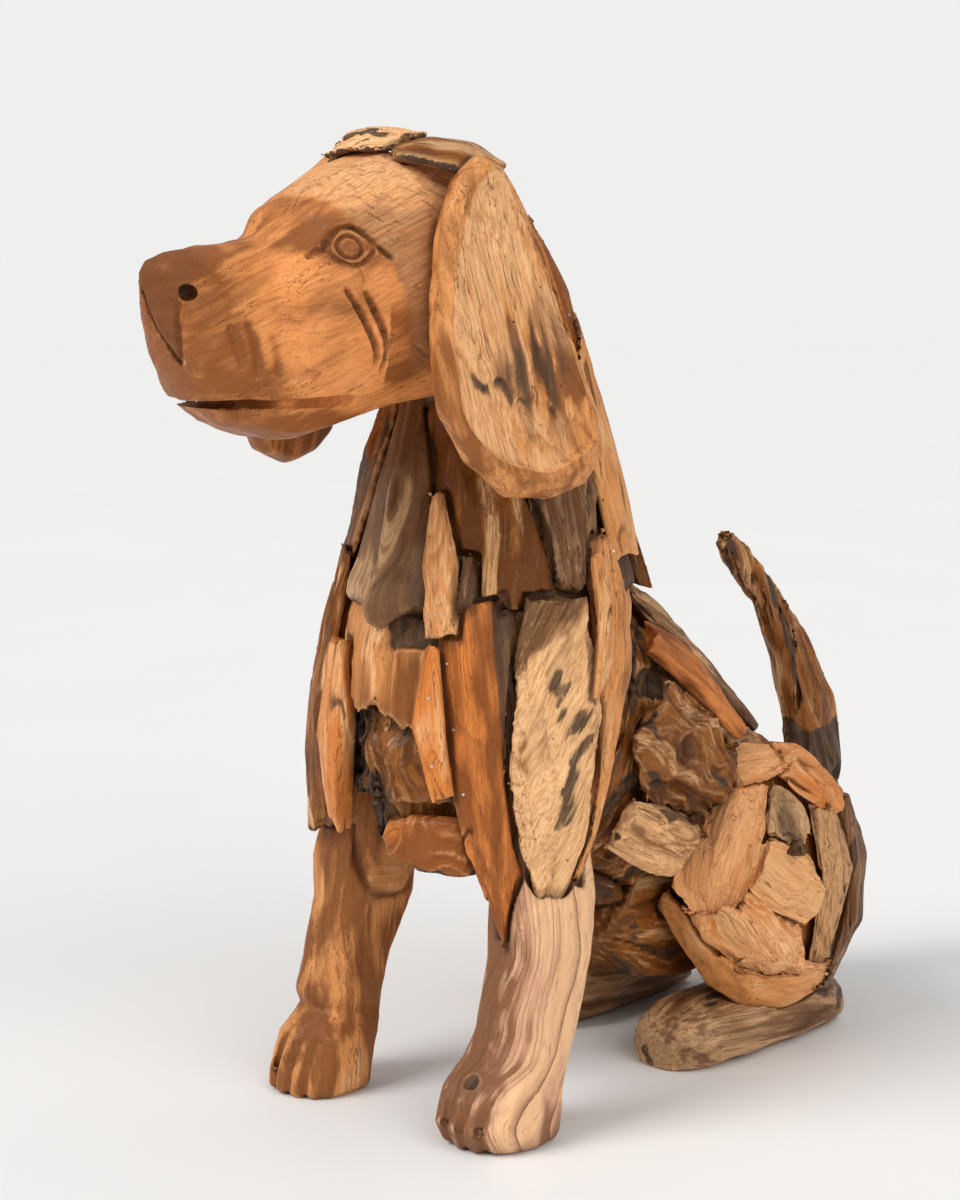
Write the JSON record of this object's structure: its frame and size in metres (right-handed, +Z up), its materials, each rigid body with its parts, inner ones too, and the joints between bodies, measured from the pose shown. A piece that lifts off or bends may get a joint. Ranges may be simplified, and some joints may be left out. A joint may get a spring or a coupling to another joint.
{
  "type": "seated dog sculpture",
  "caption": "Seated hound sculpture pieced together from carved and split driftwood, with long ears and a raised tail; stands on its four feet.",
  "frame": {"origin": "middle of the bounding box, at floor level under the feet", "axes": "+Z up; the dog looks along -Y, and its left side is +X"},
  "size_m": [0.2484, 0.6374, 0.6134],
  "materials": {
    "carved_teak": "smooth carved, oiled",
    "amber_wood": "split and worn, satin",
    "tan_wood": "worn, satin",
    "pale_torn_wood": "torn fibres, dull",
    "brown_wood": "weathered, dull",
    "grey_weathered_wood": "weathered, dull",
    "charred_wood": "charred, dull"
  },
  "bodies": {
    "root": {"back_left": "grey_weathered_wood", "back_ridge": "tan_wood", "back_right": "brown_wood", "belly": "grey_weathered_wood", "breast": "tan_wood", "breast_shard_dark": "charred_wood", "breast_shard_long": "amber_wood", "breast_shard_pale": "tan_wood", "brisket": "brown_wood", "brisket_low": "amber_wood", "crown_front": "pale_torn_wood", "crown_left": "brown_wood", "crown_rear": "amber_wood", "crown_right": "grey_weathered_wood", "ear_left": "tan_wood", "ear_right": "tan_wood", "flank_left": "brown_wood", "flank_left_burl": "brown_wood", "flank_left_low": "pale_torn_wood", "flank_left_rib": "amber_wood", "flank_right": "amber_wood", "flank_right_upper": "tan_wood", "foot_hind_left": "grey_weathered_wood", "foot_hind_right": "grey_weathered_wood", "haunch_left": "tan_wood", "haunch_right": "tan_wood", "head": "carved_teak", "hip_left": "amber_wood", "hip_right": "tan_wood", "leg_front_left": "tan_wood", "leg_front_right": "tan_wood", "nape_left": "amber_wood", "nape_left_low": "tan_wood", "nape_middle": "brown_wood", "nape_right": "tan_wood", "neck_front": "grey_weathered_wood", "neck_left": "brown_wood", "neck_left_rear": "grey_weathered_wood", "neck_right": "brown_wood", "rump": "brown_wood", "rump_left_edge": "grey_weathered_wood", "rump_left_rear": "brown_wood", "rump_left_upper": "amber_wood", "shank_left": "tan_wood", "shoulder_left_front": "amber_wood", "shoulder_left_middle": "pale_torn_wood", "shoulder_left_rear": "tan_wood", "shoulder_left_sliver": "tan_wood", "shoulder_right_back": "amber_wood", "shoulder_right_front": "amber_wood", "shoulder_right_middle": "brown_wood", "shoulder_right_rear": "tan_wood", "tail": "brown_wood", "thigh_left_front": "amber_wood", "thigh_left_low": "amber_wood", "thigh_left_middle": "tan_wood", "thigh_left_upper": "grey_weathered_wood", "thigh_right_front": "tan_wood", "thigh_right_rear": "amber_wood"}
  },
  "joints": []
}
